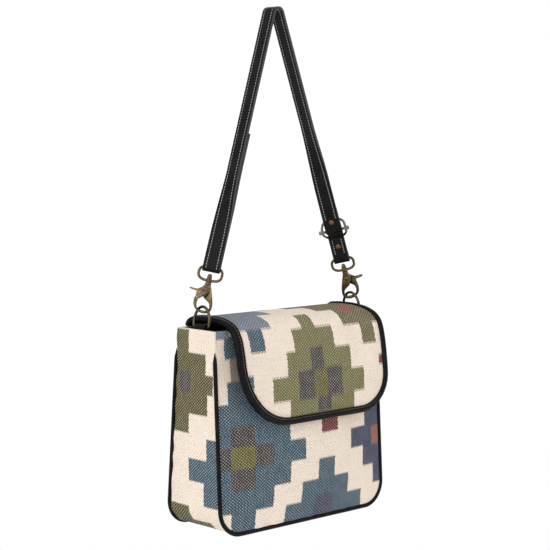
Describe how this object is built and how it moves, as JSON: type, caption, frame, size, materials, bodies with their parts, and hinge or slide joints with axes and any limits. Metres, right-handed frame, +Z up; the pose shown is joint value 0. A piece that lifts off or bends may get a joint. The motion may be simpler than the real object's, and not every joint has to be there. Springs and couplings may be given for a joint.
{
  "type": "shoulder bag",
  "caption": "Small flat-woven shoulder bag with leather-bound front flap, piped rounded panels, D-rings and trigger swivel hooks on a buckled leather strap.",
  "frame": {"origin": "underside of the strap's top fold, midway along the fold's bend and across the strap's width, where a shoulder or a peg carries the bag", "axes": "+Z up, the bag hanging below the origin; -Y out of the bag's front, where the flap closes; +X to the right seen from the front"},
  "size_m": [0.251, 0.1067, 0.568],
  "materials": {
    "kilim": "flat-woven wool, cream with stepped medallions",
    "lining_cloth": "plain black cloth",
    "trim_leather": "black, satin",
    "strap_leather": "black, satin, painted edges",
    "antique_brass": "antique brass, worn",
    "buckle_metal": "aged silver-grey plate",
    "rivet_metal": "copper-brown",
    "spring_steel": "bright wire",
    "magnet_steel": "nickel plated"
  },
  "bodies": {
    "strap": {"strap_main": "strap_leather", "strap_billet": "strap_leather", "buckle_bar": "buckle_metal", "upper_rivet_cap": "rivet_metal", "upper_rivet_base": "rivet_metal", "lower_rivet_cap": "rivet_metal", "lower_rivet_base": "rivet_metal"},
    "bag": {"front_panel": "kilim", "back_panel": "kilim", "gusset": "kilim", "lining": "lining_cloth", "front_piping": "trim_leather", "back_piping": "trim_leather", "flap_panel": "kilim", "flap_lining": "lining_cloth", "flap_binding": "trim_leather", "flap_magnet": "magnet_steel", "panel_magnet": "magnet_steel", "tab_left": "trim_leather", "tab_right": "trim_leather"},
    "left_ring": {"d_ring_left": "antique_brass"},
    "right_ring": {"d_ring_right": "antique_brass"},
    "left_eye": {"eye_left": "antique_brass"},
    "right_eye": {"eye_right": "antique_brass"},
    "left_hook": {"swivel_post_left": "antique_brass", "claw_left": "antique_brass", "pivot_rivet_left": "antique_brass", "gate_spring_left": "spring_steel"},
    "right_hook": {"swivel_post_right": "antique_brass", "claw_right": "antique_brass", "pivot_rivet_right": "antique_brass", "gate_spring_right": "spring_steel"},
    "left_gate": {"gate_left": "antique_brass"},
    "right_gate": {"gate_right": "antique_brass"},
    "buckle": {"buckle_frame": "buckle_metal"},
    "prong": {"buckle_prong": "buckle_metal"}
  },
  "joints": [
    {"name": "bag_swing", "type": "hinge", "parent": "strap", "child": "bag", "pos_m": [0.01, 0, -0.32115], "axis": [1, 0, 0], "range_deg": [-6, 6]},
    {"name": "left_eye_tilt", "type": "hinge", "parent": "strap", "child": "left_eye", "pos_m": [-0.09019, 0, -0.27934], "axis": [0.615, -0.766, -0.1869], "range_deg": [0, 3]},
    {"name": "left_ring_tilt", "type": "hinge", "parent": "bag", "child": "left_ring", "pos_m": [-0.1055, 0, -0.3432], "axis": [0, 1, 0], "range_deg": [0, 6]},
    {"name": "left_swivel", "type": "hinge", "parent": "left_eye", "child": "left_hook", "pos_m": [-0.09517, 0, -0.2957], "axis": [0.2908, 0, 0.9568], "range_deg": [-2, 60]},
    {"name": "left_gate", "type": "hinge", "parent": "left_hook", "child": "left_gate", "pos_m": [-0.09761, 0, -0.30374], "axis": [-0.6678, -0.7161, 0.2029], "range_deg": [0, 27], "stiffness_Nm_per_rad": 0.004, "springref_deg": -28.65},
    {"name": "right_eye_tilt", "type": "hinge", "parent": "strap", "child": "right_eye", "pos_m": [0.10785, 0, -0.28013], "axis": [-0.6035, 0.766, -0.2213], "range_deg": [0, 3]},
    {"name": "right_ring_tilt", "type": "hinge", "parent": "bag", "child": "right_ring", "pos_m": [0.1255, 0, -0.3432], "axis": [0, -1, 0], "range_deg": [0, 6]},
    {"name": "right_swivel", "type": "hinge", "parent": "right_eye", "child": "right_hook", "pos_m": [0.11374, 0, -0.29618], "axis": [-0.3443, 0, 0.9389], "range_deg": [-2, 60]},
    {"name": "right_gate", "type": "hinge", "parent": "right_hook", "child": "right_gate", "pos_m": [0.11663, 0, -0.30407], "axis": [0.6616, 0.7095, 0.2426], "range_deg": [0, 27], "stiffness_Nm_per_rad": 0.004, "springref_deg": -28.65},
    {"name": "buckle_rock", "type": "hinge", "parent": "strap", "child": "buckle", "pos_m": [0.09437, -0.00129, -0.24779], "axis": [0.6035, -0.766, 0.2213], "range_deg": [-1.5, 1.5]},
    {"name": "prong_lift", "type": "hinge", "parent": "strap", "child": "prong", "pos_m": [0.09437, -0.00129, -0.24779], "axis": [0.6035, -0.766, 0.2213], "range_deg": [-2, 5]}
  ],
  "couplings": [
    {"joint": "left_ring_tilt", "follows": "left_eye_tilt", "ratio": 1.9},
    {"joint": "right_ring_tilt", "follows": "right_eye_tilt", "ratio": 1.87}
  ]
}
